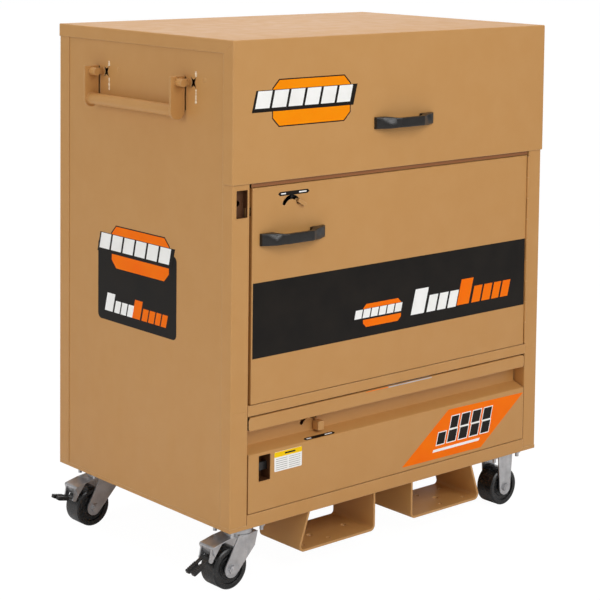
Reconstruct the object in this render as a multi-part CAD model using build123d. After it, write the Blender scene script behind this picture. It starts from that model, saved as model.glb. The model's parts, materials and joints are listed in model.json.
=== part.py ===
from build123d import *
import math
import os

# Rolling steel tool box: a lift-up lid over an open work bay, a hinged cupboard door,
# a full-width drawer, side lift handles, fork pockets and four heavy casters.
# Millimetres. +Z is up, -Y is the front. While the parts are drawn, x = 0 and y = 0 are
# the centre of the lid and z = 0 is the floor; the finished assembly is then moved so that
# the origin is the centre of its own footprint.

# ---------------------------------------------------------------- driving dimensions
SHEET = 1.5                  # body sheet thickness
BEND = 3.0                   # outside bend radius
BODY_BOTTOM = 148.0          # floor to the lower edge of the body
SKIRT = 8.0                  # floor sheet above that edge

LID_W = 1102.0
LID_D = 740.0
LID_TOP = 1337.0
LID_SIDE_H = 33.0            # depth of the side flange
APRON_H = 345.0              # front apron
APRON_RETURN = 38.0          # side return of the apron
LID_OVERHANG = 3.5           # lid beyond the body at the front and sides

RIM_Z = 1331.0               # top of the body walls
RIM_LIP = 20.0               # inward lip round the body's mouth
WRAP = 44.0                  # back panel folded round the rear corners
POST_D = 38.0
LEFT_POST_W = 53.5
RIGHT_POST_W = 48.5

DOOR_BOTTOM = 452.0
DOOR_TOP = 980.0
DOOR_D = 30.0
DOOR_LEFT_GAP = 8.5
DOOR_HINGE_GAP = 6.5
RAIL_LOW = 425.0             # middle rail between door and drawer
RAIL_HIGH = 451.0
SILL_TOP = 182.0             # bottom rail
SHELF_Z = 998.0
SHELF_SETBACK = 32.0

DRAWER_BOTTOM = 183.0
DRAWER_TOP = 421.0
LIP_BOTTOM = 387.0
RECESS_FLOOR = 342.0
LEDGE_Z = 329.0
RECESS_D = 38.0
DRAWER_GAP = 3.0
TRAY_LENGTH = 558.0
TRAY_BOTTOM = 189.0
TRAY_TOP = 383.0
SLIDE_SPACE = 16.0           # between drawer tray and bay wall
SLIDE_LENGTH = 550.0
SLIDE_Z = 283.0
DRAWER_TRAVEL = 500.0

PULL_LENGTH = 206.0
PULL_STANDOFF = 38.0
LID_PULL = (10.0, 1110.0)    # x, z of the centre
DOOR_PULL = (-360.0, 853.0)

LATCH_R = 26.0               # radius of the arched latch slot
LATCH_SLOT_W = 11.0
LATCH_REST = 36.0            # lever angle when released, above the +X direction
LATCH_TURN = 108.0
BOLT_TRAVEL = 30.0
BOLT_T = 6.0
DOOR_LATCH = (-363.0, 922.0)
DRAWER_LATCH = (-266.0, 353.0)
DRAWER_BOLT_Z = 290.0
DOOR_POCKET = (-535.5, -501.0, 911.0, 978.0)      # x, x, z, z of each padlock window
DRAWER_POCKET = (-459.0, -422.0, 258.0, 322.0)
POCKET_D = 35.0

STRAP_W = 43.0
STRAP_T = 6.4
STRAP_TOP = 1239.0
STRAP_BOTTOM = 1133.0
STRAP_YS = (-179.0, 187.0)
STRAP_GAP = 3.0              # strap clear of the wall
HANDLE_PIVOT_Z = 1225.0
GRIP_R = 15.0
STAPLE_R = 10.0              # bar on which a strap turns
STAPLE_FRONT = 28.0          # front end of the bar from the strap's middle
STAPLE_REAR = 18.0
STAPLE_EAR = 11.0
STAR_HOLE = (33.5, 10.5, 14.0)                    # distance from the strap, half width, half height
RUNNING = 0.05               # radial clearance of a turning fit

FORK_PLATE = 5.5
FORK_BOTTOM = 49.0
FORK_INNER_X = 65.0
FORK_OUTER_TOP = 292.0
FORK_OUTER_BOTTOM = 329.0
FORK_LENGTH = 155.0
FORK_BOLT_X = (202.0, 289.0)
FORK_BOLT_Y = (30.5, 120.0)  # behind the lid's front face
FORK_BOLT_R = 5.5
FORK_HOLE_X = (111.0, 228.0)

CASTER_X = (-479.0, 449.0)
CASTER_Y = (-315.0, 270.0)
CASTER_PLATE = (114.0, 98.0, 6.0)
CASTER_BOLTS = (92.0, 67.0)
CASTER_BOLT_R = 5.0
NUT_SIZE = 16.0              # across the flats
NUT_H = 9.0
BOLT_END = 11.0              # caster bolt beyond its nut
CASTER_TRAIL = 45.0
WHEEL_R = 50.8
WHEEL_W = 56.0
PEDAL_PIN = (-100.0, 81.0)   # x from the swivel axis, z from the floor
PEDAL_REACH = 148.0          # pedal tip from the swivel axis
PEDAL_TILT = {"front": -28.0, "rear": 12.0}      # front brake on, rear brake off
PEDAL_SWING = 40.0

HINGE_R = 5.0                # lid hinge knuckle
LID_HINGE = (371.8, 1330.5)  # y, z of the pin
LID_OPEN = 75.0
STAY_BODY = (-30.0, -70.0)   # y, z of the stay anchors from the lid hinge pin
STAY_LID = (-243.0, -18.0)
STAY_X = 510.0

# ---------------------------------------------------------------- derived places
LID_FRONT = -LID_D / 2
FRONT = LID_FRONT + LID_OVERHANG
SIDE = LID_W / 2 - LID_OVERHANG
BACK = -FRONT
BACK_INNER = BACK - SHEET
POST_BACK = FRONT + POST_D
CASTER_H = BODY_BOTTOM + SKIRT                    # floor to the underside of the floor sheet
FLOOR_TOP = CASTER_H + SHEET
APRON_BOTTOM = LID_TOP - APRON_H
BAY_LEFT = -SIDE + LEFT_POST_W
BAY_RIGHT = SIDE - RIGHT_POST_W
DOOR_LEFT = BAY_LEFT + DOOR_LEFT_GAP
DOOR_RIGHT = BAY_RIGHT - DOOR_HINGE_GAP
DRAWER_LEFT = BAY_LEFT + DRAWER_GAP
DRAWER_RIGHT = BAY_RIGHT - DRAWER_GAP
RECESS_Y = FRONT + RECESS_D
TRAY_LEFT = BAY_LEFT + SLIDE_SPACE
TRAY_RIGHT = BAY_RIGHT - SLIDE_SPACE
TRAY_FRONT = RECESS_Y + 20
DOOR_HINGE = (BAY_RIGHT - DOOR_HINGE_GAP / 2, FRONT - 1)
HANDLE_PIVOT_X = -SIDE - STRAP_GAP - STRAP_W / 2
AXLE_Z = WHEEL_R
AXLE_R = 6.0
LATCH_PIN_R = BOLT_TRAVEL / 2 / math.sin(math.radians(LATCH_TURN / 2))


# ---------------------------------------------------------------- shared helpers
def block(x0, x1, y0, y1, z0, z1):
    """A box between two opposite corners."""
    return Pos((x0 + x1) / 2, (y0 + y1) / 2, (z0 + z1) / 2) * Box(x1 - x0, y1 - y0, z1 - z0)


def rod_x(x0, x1, y, z, radius):
    return Pos((x0 + x1) / 2, y, z) * Rot(0, 90, 0) * Cylinder(radius, x1 - x0)


def rod_y(x, y0, y1, z, radius):
    return Pos(x, (y0 + y1) / 2, z) * Rot(90, 0, 0) * Cylinder(radius, y1 - y0)


def rod_z(x, y, z0, z1, radius):
    return Pos(x, y, (z0 + z1) / 2) * Cylinder(radius, z1 - z0)


def hexagon_z(x, y, z0, z1, across_flats):
    outline = RegularPolygon(across_flats / 2, 6, major_radius=False)
    return Pos(x, y, z0) * extrude(outline, amount=z1 - z0)


def folded_sheet(points, length, thickness=SHEET, bend=BEND, side=Side.RIGHT):
    """A sheet folded along the (y, z) outline and running from x = 0 to x = length."""
    line = Plane.YZ * FilletPolyline(*points, radius=bend)
    outline = offset(line, amount=thickness, side=side, closed=True)
    return extrude(make_face(outline.edges()), amount=length, dir=(1, 0, 0))


def hollow(x0, x1, y0, y1, z0, z1, edges, opening):
    """A folded pan: a block with rounded bends, hollowed to sheet thickness and left open.

    edges picks the outside bends; opening moves each face of the hollow (x0, x1, y0, ...)."""
    outer = block(x0, x1, y0, y1, z0, z1)
    inner_size = [value + move for value, move in zip((x0, x1, y0, y1, z0, z1), opening)]
    inner = block(*inner_size)
    outer = fillet(edges(outer), BEND)
    inner = fillet(edges(inner), BEND - SHEET)
    return outer - inner


def mirrored_x(part):
    return mirror(part, about=Plane.YZ)


def mirrored_y(part):
    return mirror(part, about=Plane.XZ)


# ---------------------------------------------------------------- body
def side_panel():
    """Left wall, with a slot behind each strap of the lift handle and a star-shaped hole beside it."""
    wall = block(-SIDE, -SIDE + SHEET, POST_BACK, BACK_INNER - SHEET, FLOOR_TOP, RIM_Z)
    lip = block(-SIDE, -SIDE + RIM_LIP, POST_BACK, BACK_INNER - SHEET, RIM_Z - SHEET, RIM_Z)
    panel = wall + lip
    slot_bottom = STRAP_BOTTOM + STRAP_W / 2
    distance, half_w, half_h = STAR_HOLE
    for y in STRAP_YS:
        panel -= block(-SIDE - 1, -SIDE + 2 * SHEET, y - 3.5, y + 3.5, slot_bottom, STRAP_TOP - 2)
        star = [
            (half_w, half_h), (half_w / 2, 0), (half_w, -half_h), (0, -half_h / 2),
            (-half_w, -half_h), (-half_w / 2, 0), (-half_w, half_h), (0, half_h / 2),
        ]
        hole = Plane.YZ * make_face(Polyline(*star, close=True))
        panel -= Pos(-SIDE, y - distance, HANDLE_PIVOT_Z) * extrude(hole, amount=5, both=True)
    return panel


def back_panel():
    """Rear wall folded forward round both rear corners, outside the side walls."""
    outer_x = SIDE + SHEET
    wall = hollow(
        -outer_x, outer_x, BACK - WRAP, BACK, FLOOR_TOP, RIM_Z,
        lambda part: part.edges().filter_by(Axis.Z).group_by(Axis.Y)[-1],
        (SHEET, -SHEET, -1, -SHEET, -1, 1),
    )
    lip_x = SIDE - RIM_LIP
    return wall + block(-lip_x, lip_x, BACK_INNER - RIM_LIP, BACK_INNER, RIM_Z - SHEET, RIM_Z)


def floor_pan():
    """Floor sheet with a skirt folded down all round; its front edge also folds up into the bottom rail."""
    pan = block(-SIDE, SIDE, FRONT, BACK, BODY_BOTTOM, FLOOR_TOP)
    pan -= block(-SIDE + SHEET, SIDE - SHEET, FRONT + SHEET, BACK - SHEET, BODY_BOTTOM - 1, CASTER_H)
    pan += block(BAY_LEFT, BAY_RIGHT, FRONT, FRONT + SHEET, FLOOR_TOP, SILL_TOP)
    pan += block(BAY_LEFT, BAY_RIGHT, FRONT, FRONT + 14, SILL_TOP - SHEET, SILL_TOP)
    for x, y in caster_bolt_places():
        pan -= rod_z(x, y, CASTER_H - 1, FLOOR_TOP + 1, CASTER_BOLT_R)
    return pan


def notched_for_bolts(part):
    """Cut away whatever stands where a caster bolt's head sits on the floor sheet."""
    for x, y in caster_bolt_places():
        part -= rod_z(x, y, FLOOR_TOP - 1, FLOOR_TOP + NUT_H + 2, NUT_SIZE * 0.7)
    return part


def post(x0, x1):
    """Front corner post: a channel open to the rear."""
    channel = hollow(
        x0, x1, FRONT, POST_BACK, FLOOR_TOP, RIM_Z,
        lambda part: part.edges().filter_by(Axis.Z).group_by(Axis.Y)[0],
        (SHEET, -SHEET, SHEET, 1, -1, 1),
    )
    return notched_for_bolts(channel)


def left_post():
    """The post on the latch side, with the padlock window and both bolt slots."""
    column = post(-SIDE, BAY_LEFT)
    x0, x1, z0, z1 = DOOR_POCKET
    column -= block(x0, x1, FRONT - 1, FRONT + 2 * SHEET, z0, z1)
    for bolt_y, bolt_z in ((door_bolt_y(), DOOR_LATCH[1]), (drawer_bolt_y(), DRAWER_BOLT_Z)):
        column -= bolt_slot(BAY_LEFT - 3, BAY_LEFT + 1, bolt_y, bolt_z)
    return column


def work_shelf():
    """Floor of the upper bay, with the header flange that stops the door."""
    header_y = FRONT + SHELF_SETBACK
    shelf = block(-SIDE + SHEET, SIDE - SHEET, POST_BACK, BACK_INNER, SHELF_Z - SHEET, SHELF_Z)
    shelf += block(BAY_LEFT, BAY_RIGHT, header_y, POST_BACK, SHELF_Z - SHEET, SHELF_Z)
    shelf += block(BAY_LEFT, BAY_RIGHT, header_y, header_y + SHEET, SHELF_Z - 40, SHELF_Z)
    return shelf


def drawer_bay_liner():
    """Roof and side walls of the drawer bay; the roof's front edge is the middle rail."""
    roof = block(BAY_LEFT, BAY_RIGHT, FRONT, BACK_INNER, RAIL_HIGH - SHEET, RAIL_HIGH)
    liner = roof + block(BAY_LEFT, BAY_RIGHT, FRONT, FRONT + SHEET, RAIL_LOW, RAIL_HIGH)
    liner += block(BAY_LEFT, BAY_RIGHT, FRONT, FRONT + 14, RAIL_LOW, RAIL_LOW + SHEET)
    for x0 in (BAY_LEFT - SHEET, BAY_RIGHT):
        liner += block(x0, x0 + SHEET, POST_BACK, BACK_INNER, FLOOR_TOP, RAIL_HIGH)
    liner += block(-SIDE + SHEET, BAY_LEFT, POST_BACK, BACK_INNER, RAIL_HIGH - SHEET, RAIL_HIGH)
    liner += block(BAY_RIGHT, SIDE - SHEET, POST_BACK, BACK_INNER, RAIL_HIGH - SHEET, RAIL_HIGH)
    return notched_for_bolts(liner)


def lock_pocket(window, bolt_y, bolt_z, hasp):
    """A five-sided box behind a padlock window; the bolt enters through its side."""
    x0, x1, z0, z1 = window
    front = FRONT + SHEET
    back = front + POCKET_D
    pocket = block(x0 - SHEET, x1 + SHEET, front, back, z0 - SHEET, z1 + SHEET)
    pocket -= block(x0, x1, front - 1, back - SHEET, z0, z1)
    for x in hasp:
        pocket -= bolt_slot(x - 3, x + 3, bolt_y, bolt_z)
    return pocket


def door_lock_pocket():
    """Pocket in the left post, with the fixed hasp plate behind the bolt's tip."""
    x0, x1, z0, z1 = DOOR_POCKET
    pocket = lock_pocket(DOOR_POCKET, door_bolt_y(), DOOR_LATCH[1], (x1,))
    plate_y = door_bolt_y() + BOLT_T / 2 + 3
    plate = block(x0, x1, plate_y, plate_y + 3, z0, z1)
    plate -= rod_y((x0 + x1) / 2, plate_y - 1, plate_y + 4, DOOR_LATCH[1] + 22, 7)
    return pocket + plate


# ---------------------------------------------------------------- lid
def lid_shell():
    """Top plate, side flanges and front apron with its side returns, in one folded sheet."""
    half = LID_W / 2
    rear = BACK - 0.5

    def bends(part):
        front = part.edges().filter_by(Axis.Z).group_by(Axis.Y)[0]
        top = part.edges().group_by(Axis.Z)[-1]
        return front + top.filter_by(Axis.Y) + top.filter_by(Axis.X).sort_by(Axis.Y)[:1]

    shell = hollow(
        -half, half, LID_FRONT, rear, APRON_BOTTOM, LID_TOP,
        bends, (SHEET, -SHEET, SHEET, 1, -1, -SHEET),
    )
    return shell - block(
        -half - 1, half + 1, LID_FRONT + APRON_RETURN, rear + 1, APRON_BOTTOM - 1, LID_TOP - LID_SIDE_H
    )


def pull_handle(x, wall_y, z):
    """Moulded pull with two wide feet and a straight raised grip."""
    half = PULL_LENGTH / 2
    outside = [(-half, 0), (-half + 2, 8), (-40, PULL_STANDOFF), (40, PULL_STANDOFF), (half - 2, 8), (half, 0)]
    inside = [(half - 45, 0), (half - 45, 10), (38, 25), (-38, 25), (45 - half, 10), (45 - half, 0)]
    side_view = make_face(Polyline(*outside, *inside, close=True))
    front_view = [(-half, -15), (-66, -15), (-46, -12.5), (46, -12.5), (66, -15), (half, -15)]
    front_view += [(px, -pz) for px, pz in reversed(front_view)]
    grip = extrude(side_view, amount=20, both=True)
    outline = Plane.XZ * make_face(Polyline(*front_view, close=True))
    grip = grip & extrude(outline, amount=60, both=True)
    grip = fillet(grip.edges().filter_by(lambda edge: edge.center().Y > 11), 3)
    # drawn standing along +Y with its thickness along Z, so turn the grip to face the front
    return Pos(x, wall_y, z) * Rot(0, 0, 180) * grip


# ---------------------------------------------------------------- hinges
def knuckle_spans(length, count, first):
    """Start and end of every second knuckle, beginning with number first (0 or 1)."""
    pitch = length / count
    gap = 0.5
    return [(i * pitch + gap / 2, (i + 1) * pitch - gap / 2) for i in range(first, count, 2)]


def hinge_leaf(length, count, first, width, radius, thickness, pin_r):
    """Leaf with its knuckles; the pin runs along Z and the leaf reaches along +X on the -Y side."""
    clear = radius + 0.5
    leaf = block(clear, width, -radius, -radius + thickness, 0, length)
    for start, end in knuckle_spans(length, count, first):
        leaf += block(0, clear, -radius, -radius + thickness, start, end)
        leaf += rod_z(0, 0, start, end, radius)
        leaf -= rod_z(0, 0, start - 1, end + 1, pin_r + RUNNING)
    return leaf


LID_HINGE_L = 1040.0
LID_HINGE_COUNT = 13
LID_PIN_R = 3.0
DOOR_HINGE_L = DOOR_TOP - DOOR_BOTTOM - 8
DOOR_HINGE_COUNT = 9
DOOR_PIN_R = 1.4


def lid_hinge_plane(reach):
    return Plane(origin=(-LID_HINGE_L / 2, *LID_HINGE), x_dir=reach, z_dir=(1, 0, 0))


def lid_hinge_body_leaf():
    leaf = hinge_leaf(LID_HINGE_L, LID_HINGE_COUNT, 0, 45, HINGE_R, 2.0, LID_PIN_R)
    return lid_hinge_plane((0, 0, -1)).location * leaf


def lid_hinge_lid_leaf():
    leaf = hinge_leaf(LID_HINGE_L, LID_HINGE_COUNT, 1, 45, HINGE_R, 2.0, LID_PIN_R)
    return lid_hinge_plane((0, -1, 0)).location * leaf


def lid_hinge_pin():
    return rod_x(-LID_HINGE_L / 2, LID_HINGE_L / 2, *LID_HINGE, LID_PIN_R)


def door_hinge_post_leaf():
    place = Plane(origin=(*DOOR_HINGE, DOOR_BOTTOM + 4), x_dir=(0, 1, 0), z_dir=(0, 0, 1))
    leaf = hinge_leaf(DOOR_HINGE_L, DOOR_HINGE_COUNT, 0, 26, DOOR_HINGE_GAP / 2, 1.1, DOOR_PIN_R)
    return place.location * leaf


def door_hinge_door_leaf():
    place = Plane(origin=(*DOOR_HINGE, DOOR_TOP - 4), x_dir=(0, 1, 0), z_dir=(0, 0, -1))
    leaf = hinge_leaf(DOOR_HINGE_L, DOOR_HINGE_COUNT, 1, 26, DOOR_HINGE_GAP / 2, 1.1, DOOR_PIN_R)
    return place.location * leaf


def door_hinge_pin():
    return rod_z(*DOOR_HINGE, DOOR_BOTTOM + 4, DOOR_TOP - 4, DOOR_PIN_R)


# ---------------------------------------------------------------- latches
def door_bolt_y():
    return FRONT + 11.5


def drawer_bolt_y():
    return FRONT + 17.5


def bolt_slot(x0, x1, bolt_y, bolt_z):
    """Clearance opening for a sliding bolt."""
    half_t = BOLT_T / 2 + 1
    return block(x0, x1, bolt_y - half_t, bolt_y + half_t, bolt_z - 11, bolt_z + 11)


def latch_slot(pivot, wall_y):
    """Arched slot in the wall that the lever's tab travels in."""
    sweep_angle = LATCH_TURN + 2 * 8
    arc = CenterArc((0, 0), LATCH_R, 90 - sweep_angle / 2, sweep_angle)
    slot = extrude(SlotArc(arc, LATCH_SLOT_W), amount=5, both=True)
    return Pos(pivot[0], wall_y, pivot[1]) * Rot(90, 0, 0) * slot


def latch_stud(pivot, wall_y):
    """Stud welded behind the wall, on which the lever turns."""
    return rod_y(pivot[0], wall_y + SHEET, wall_y + 8, pivot[1], 4)


def latch_lever(pivot, wall_y, finger):
    """Crank behind the wall with a tab through the slot and a drive pin to the rear.

    finger is the outside part of the tab, already in place for the released position."""
    x, z = pivot
    arm = block(0, LATCH_R + 2, wall_y + 3.5, wall_y + 6.5, -5, 5)
    arm += block(LATCH_R - 2.5, LATCH_R + 2.5, wall_y - 5, wall_y + 6.5, -3.5, 3.5)
    arm += rod_y(LATCH_PIN_R, wall_y + 3.5, wall_y + 15, 0, 3)
    arm = Rot(0, -LATCH_REST, 0) * arm
    hub = rod_y(0, wall_y + 3.5, wall_y + 6.5, 0, 9)
    hub -= rod_y(0, wall_y + 3, wall_y + 7, 0, 4 + RUNNING)
    arm -= rod_y(0, wall_y + 3, wall_y + 7, 0, 4 + RUNNING)
    return Pos(x, 0, z) * (hub + arm + finger)


def door_latch_lever():
    finger = Pos(LATCH_R * 0.81, FRONT - 5, LATCH_R * 0.58)
    finger = finger * Rot(0, 32, 0) * block(-4, 22, -3, 2, -4.5, 4.5)
    return latch_lever(DOOR_LATCH, FRONT, finger)


def drawer_latch_lever():
    finger = block(12, 30, RECESS_Y - 24, RECESS_Y - 3, -9, 13)
    return latch_lever(DRAWER_LATCH, RECESS_Y, finger)


def latch_bolt(tip_x, bolt_y, bolt_z, pivot, yoke_y):
    """Flat bolt with a padlock hole near its tip and a yoke that the lever's pin drives."""
    pin_x = pivot[0] + LATCH_PIN_R * math.cos(math.radians(LATCH_REST))
    pin_low = pivot[1] + LATCH_PIN_R * math.sin(math.radians(LATCH_REST))
    pin_high = pivot[1] + LATCH_PIN_R
    bolt = block(tip_x, pin_x + 10, bolt_y - BOLT_T / 2, bolt_y + BOLT_T / 2, bolt_z - 10, bolt_z + 10)
    bolt -= rod_y(tip_x + 14, bolt_y - BOLT_T, bolt_y + BOLT_T, bolt_z, 6)
    bolt += block(
        pin_x - 10, pin_x + 10, bolt_y - BOLT_T / 2, yoke_y + BOLT_T / 2, bolt_z - 10, bolt_z + 4
    )
    yoke = block(pin_x - 10, pin_x + 10, yoke_y - BOLT_T / 2, yoke_y + BOLT_T / 2, bolt_z - 10, pin_high + 10)
    bolt += yoke
    window = block(
        pin_x - 4.7, pin_x + 4.7, yoke_y - BOLT_T, yoke_y + BOLT_T, pin_low - 4.5, pin_high + 4.5
    )
    return bolt - window


def door_latch_bolt():
    return latch_bolt(DOOR_LEFT + 1, door_bolt_y(), DOOR_LATCH[1], DOOR_LATCH, door_bolt_y())


def drawer_latch_bolt():
    yoke_y = RECESS_Y + 11.5
    return latch_bolt(DRAWER_LEFT + 1, drawer_bolt_y(), DRAWER_BOLT_Z, DRAWER_LATCH, yoke_y)


# ---------------------------------------------------------------- door and drawer
def door_panel():
    """Folded door pan with the lever's slot and stud and the bolt's slot."""
    pan = hollow(
        DOOR_LEFT, DOOR_RIGHT, FRONT, FRONT + DOOR_D, DOOR_BOTTOM, DOOR_TOP,
        lambda part: part.edges().group_by(Axis.Y)[0],
        (SHEET, -SHEET, SHEET, 1, SHEET, -SHEET),
    )
    pan -= bolt_slot(DOOR_LEFT - 1, DOOR_LEFT + 3, door_bolt_y(), DOOR_LATCH[1])
    pan -= latch_slot(DOOR_LATCH, FRONT)
    return pan + latch_stud(DOOR_LATCH, FRONT)


def drawer_front():
    """Folded drawer face: hollow lip bar, finger recess, sloping ledge and lower panel."""
    outline = [
        (RECESS_Y, DRAWER_TOP), (FRONT, DRAWER_TOP), (FRONT, LIP_BOTTOM), (RECESS_Y, LIP_BOTTOM),
        (RECESS_Y, RECESS_FLOOR), (FRONT, LEDGE_Z), (FRONT, DRAWER_BOTTOM), (FRONT + 15, DRAWER_BOTTOM),
    ]
    width = DRAWER_RIGHT - DRAWER_LEFT
    face = Pos(DRAWER_LEFT, 0, 0) * folded_sheet(outline, width)
    face &= drawer_outline()
    for x0 in (DRAWER_LEFT, DRAWER_RIGHT - SHEET):
        face += block(x0, x0 + SHEET, FRONT + SHEET, FRONT + 30, DRAWER_BOTTOM + SHEET, LEDGE_Z - SHEET)
    x0, x1, z0, z1 = DRAWER_POCKET
    face -= block(x0, x1, FRONT - 1, FRONT + 2 * SHEET, z0, z1)
    face -= bolt_slot(DRAWER_LEFT - 1, DRAWER_LEFT + 3, drawer_bolt_y(), DRAWER_BOLT_Z)
    face -= latch_slot(DRAWER_LATCH, RECESS_Y)
    return face + latch_stud(DRAWER_LATCH, RECESS_Y)


def drawer_outline():
    """Front view of the drawer face: the lip bar has rounded ends."""
    height = DRAWER_TOP - LIP_BOTTOM
    width = DRAWER_RIGHT - DRAWER_LEFT
    middle = (DRAWER_LEFT + DRAWER_RIGHT) / 2
    lip = extrude(RectangleRounded(width, height, 9), amount=RECESS_D + 2, both=True)
    lip = Pos(middle, FRONT, (DRAWER_TOP + LIP_BOTTOM) / 2) * Rot(90, 0, 0) * lip
    recess = block(DRAWER_LEFT, DRAWER_RIGHT, RECESS_Y - BEND, RECESS_Y + 3, RECESS_FLOOR, LIP_BOTTOM + 5)
    lower = block(DRAWER_LEFT, DRAWER_RIGHT, FRONT - 2, RECESS_Y + 3, DRAWER_BOTTOM - 1, RECESS_FLOOR)
    return lip + recess + lower


def drawer_lock_pocket():
    x0, x1 = DRAWER_POCKET[:2]
    return lock_pocket(DRAWER_POCKET, drawer_bolt_y(), DRAWER_BOLT_Z, (x0, x1))


def drawer_tray():
    """Open-topped tray; its floor runs forward to the drawer face."""
    rear = TRAY_FRONT + TRAY_LENGTH
    tray = block(TRAY_LEFT, TRAY_RIGHT, TRAY_FRONT, rear, TRAY_BOTTOM, TRAY_TOP)
    tray -= block(
        TRAY_LEFT + SHEET, TRAY_RIGHT - SHEET, TRAY_FRONT + SHEET, rear - SHEET, TRAY_BOTTOM + SHEET, TRAY_TOP + 1
    )
    apron = block(TRAY_LEFT, TRAY_RIGHT, FRONT + SHEET, TRAY_FRONT, TRAY_BOTTOM, TRAY_BOTTOM + SHEET)
    return tray + apron


def slide_channel(x, width, half_height, y0):
    """A C channel whose web stands at x and whose flanges reach by width (signed)."""
    web_x = sorted((x, x + math.copysign(SHEET, width)))
    flange_x = sorted((x, x + width))
    channel = block(*web_x, y0, y0 + SLIDE_LENGTH, SLIDE_Z - half_height, SLIDE_Z + half_height)
    for z0 in (SLIDE_Z - half_height, SLIDE_Z + half_height - SHEET):
        channel += block(*flange_x, y0, y0 + SLIDE_LENGTH, z0, z0 + SHEET)
    return channel


SLIDE_Y0 = POST_BACK + 12
SLIDE_PLAY = 0.4


def slide_pair(depth, width, half_height):
    """The left and right members; depth is measured inward from the bay wall."""
    left = slide_channel(BAY_LEFT + depth, width, half_height, SLIDE_Y0)
    right = slide_channel(BAY_RIGHT - depth, -width, half_height, SLIDE_Y0)
    return [left, right]


def slide_outer_members():
    return slide_pair(0, 11.5, 22.5)


def slide_middle_members():
    return slide_pair(SHEET + SLIDE_PLAY, 10.5, 22.5 - SHEET - SLIDE_PLAY)


def slide_inner_members():
    return slide_pair(SLIDE_SPACE, -10.5, 22.5 - 2 * (SHEET + SLIDE_PLAY))


# ---------------------------------------------------------------- gas stays
def stay_points():
    """Body and lid anchors of the stay, as (y, z)."""
    hinge_y, hinge_z = LID_HINGE
    return [(hinge_y + y, hinge_z + z) for y, z in (STAY_BODY, STAY_LID)]


def stay_plane(x, start, end):
    """A plane at the first point whose normal runs along the stay."""
    direction = (0, end[0] - start[0], end[1] - start[1])
    return Plane(origin=(x, *start), x_dir=(1, 0, 0), z_dir=direction)


def stay_length():
    body, lid = stay_points()
    return math.dist(body, lid)


STAY_TUBE_R = 9.0
STAY_ROD_R = 4.0
STAY_EYE_T = 8.0
STAY_STUD_R = 4.0


def stay_cylinder(x):
    """Hollow cylinder with a bored gland at its open end and an eye on the body stud."""
    body, lid = stay_points()
    tube_end = stay_length() - 26
    tube = rod_z(0, 0, 14, tube_end, STAY_TUBE_R)
    tube -= rod_z(0, 0, 20, tube_end - 10, STAY_TUBE_R - 1.5)
    tube -= rod_z(0, 0, 20, tube_end + 1, STAY_ROD_R + RUNNING)
    eye = rod_x(-STAY_EYE_T / 2, STAY_EYE_T / 2, 0, 0, 8) + block(-3, 3, -5, 5, 0, 15)
    eye -= rod_x(-STAY_EYE_T, STAY_EYE_T, 0, 0, STAY_STUD_R + RUNNING)
    return stay_plane(x, body, lid).location * (tube + eye)


def stay_rod(x):
    """Rod with its piston inside the cylinder and an eye at the lid bracket."""
    body, lid = stay_points()
    length = stay_length()
    rod = rod_z(0, 0, 24, length - 6, STAY_ROD_R)
    rod += rod_z(0, 0, 22, 30, STAY_TUBE_R - 1.5 - RUNNING)
    eye = rod_x(-STAY_EYE_T / 2, STAY_EYE_T / 2, 0, length, 8)
    eye -= rod_x(-STAY_EYE_T, STAY_EYE_T, 0, length, STAY_STUD_R + RUNNING)
    rod -= rod_x(-STAY_EYE_T, STAY_EYE_T, 0, length, STAY_STUD_R + RUNNING)
    return stay_plane(x, body, lid).location * (rod + eye)


def stay_body_studs():
    """A plate welded inside each side wall, with the stud that carries the cylinder."""
    body, _ = stay_points()
    wall = SIDE - SHEET
    plate = block(-wall, -wall + 4, body[0] - 22, body[0] + 22, body[1] - 30, body[1] + 30)
    stud = rod_x(-wall + 4, -STAY_X + STAY_EYE_T / 2 + 3, *body, STAY_STUD_R)
    bracket = plate + stud
    return [bracket, mirrored_x(bracket)]


def stay_lid_brackets():
    """A foot under the top plate and a drop plate whose stud meets the rod's eye."""
    _, lid = stay_points()
    under = LID_TOP - SHEET
    inner = -STAY_X + STAY_EYE_T / 2
    foot = block(inner + 0.5, inner + 34, lid[0] - 22, lid[0] + 22, under - 3, under)
    drop = block(inner + 0.5, inner + 4.5, lid[0] - 12, lid[0] + 12, lid[1] - 10, under)
    bracket = foot + drop + rod_x(inner + 4, inner + 9, *lid, 7)
    return [bracket, mirrored_x(bracket)]


# ---------------------------------------------------------------- lift handles
def lift_handle():
    """Two straps with square tops and round lower ends, welded to a grip tube left open at the rear."""
    half = STRAP_W / 2
    grip_z = STRAP_BOTTOM + half
    handle = rod_y(HANDLE_PIVOT_X, STRAP_YS[0], STRAP_YS[1], grip_z, GRIP_R)
    for y in STRAP_YS:
        y0, y1 = y - STRAP_T / 2, y + STRAP_T / 2
        strap = block(HANDLE_PIVOT_X - half, HANDLE_PIVOT_X + half, y0, y1, grip_z, STRAP_TOP)
        strap += rod_y(HANDLE_PIVOT_X, y0, y1, grip_z, half)
        strap -= rod_y(HANDLE_PIVOT_X, y0 - 1, y1 + 1, HANDLE_PIVOT_Z, STAPLE_R + RUNNING)
        handle += strap
    bore = rod_y(HANDLE_PIVOT_X, STRAP_YS[0] + STRAP_T / 2, STRAP_YS[1] + STRAP_T, grip_z, GRIP_R - 2.5)
    return handle - bore


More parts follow.
